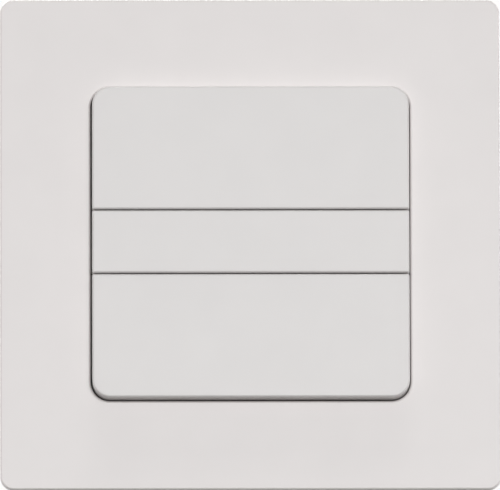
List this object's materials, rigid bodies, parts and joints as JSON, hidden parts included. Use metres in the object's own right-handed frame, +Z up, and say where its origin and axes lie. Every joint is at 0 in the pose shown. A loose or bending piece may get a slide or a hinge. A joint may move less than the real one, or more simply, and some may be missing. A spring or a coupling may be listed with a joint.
{
  "type": "wireless wall switch",
  "caption": "Square battery-powered wall remote: smooth white cover frame around plain tall rocking keys with a low push bar between them.",
  "frame": {"origin": "centre of the wall plate's back face, in the plane of the wall", "axes": "+X to the right as seen from the room, +Y into the wall, +Z up; the keys face -Y"},
  "size_m": [0.08, 0.0124, 0.08],
  "materials": {
    "frame_white": "smooth satin white",
    "key_white": "smooth satin white",
    "plate_white": "plain moulded white",
    "module_dark": "fine moulded grain",
    "board_green": "solder mask",
    "cell_steel": "nickel plated",
    "contact_steel": "tinned sheet",
    "screw_steel": "zinc plated",
    "chip_black": "moulded epoxy",
    "capacitor_tan": "plain",
    "antenna_brass": "stamped sheet",
    "switch_black": "moulded",
    "stem_plastic": "moulded"
  },
  "bodies": {
    "housing": {"wall_plate": "plate_white", "cover_frame": "frame_white", "module_base": "module_dark", "key_carrier": "module_dark", "circuit_board": "board_green", "coin_cell": "cell_steel", "battery_positive_clip": "contact_steel", "battery_negative_contact": "contact_steel", "radio_chip": "chip_black", "crystal": "contact_steel", "chip_capacitors": "capacitor_tan", "antenna_strip": "antenna_brass", "housing_screws": "screw_steel", "upper_switch_body": "switch_black", "middle_switch_body": "switch_black", "lower_switch_body": "switch_black", "pairing_switch_body": "switch_black", "switch_cover_plates": "contact_steel", "switch_terminals": "contact_steel"},
    "upper_key": {"upper_key": "key_white"},
    "middle_key": {"middle_key": "key_white"},
    "lower_key": {"lower_key": "key_white"},
    "upper_plunger": {"upper_switch_plunger": "stem_plastic"},
    "middle_plunger": {"middle_switch_plunger": "stem_plastic"},
    "lower_plunger": {"lower_switch_plunger": "stem_plastic"},
    "pairing_plunger": {"pairing_plunger": "stem_plastic"}
  },
  "joints": [
    {"name": "upper_key_rock", "type": "hinge", "parent": "housing", "child": "upper_key", "pos_m": [0, -0.0092, 0.0087], "axis": [-1, 0, 0], "range_deg": [0, 1.5], "stiffness_Nm_per_rad": 0.58},
    {"name": "middle_key_push", "type": "slide", "parent": "housing", "child": "middle_key", "axis": [0, 1, 0], "range_m": [0, 0.00025], "stiffness_N_per_m": 6400},
    {"name": "lower_key_rock", "type": "hinge", "parent": "housing", "child": "lower_key", "pos_m": [0, -0.0092, -0.0087], "axis": [1, 0, 0], "range_deg": [0, 1.5], "stiffness_Nm_per_rad": 0.58},
    {"name": "upper_plunger_push", "type": "slide", "parent": "housing", "child": "upper_plunger", "axis": [0, 1, 0], "range_m": [0, 0.00025]},
    {"name": "middle_plunger_push", "type": "slide", "parent": "housing", "child": "middle_plunger", "axis": [0, 1, 0], "range_m": [0, 0.00025]},
    {"name": "lower_plunger_push", "type": "slide", "parent": "housing", "child": "lower_plunger", "axis": [0, 1, 0], "range_m": [0, 0.00025]},
    {"name": "pairing_button_push", "type": "slide", "parent": "housing", "child": "pairing_plunger", "axis": [0, -1, 0], "range_m": [0, 0.00025], "stiffness_N_per_m": 6400}
  ],
  "couplings": [
    {"joint": "upper_plunger_push", "follows": "upper_key_rock", "m_per_rad": 0.0095},
    {"joint": "middle_plunger_push", "follows": "middle_key_push", "ratio": 1},
    {"joint": "lower_plunger_push", "follows": "lower_key_rock", "m_per_rad": 0.0095}
  ]
}
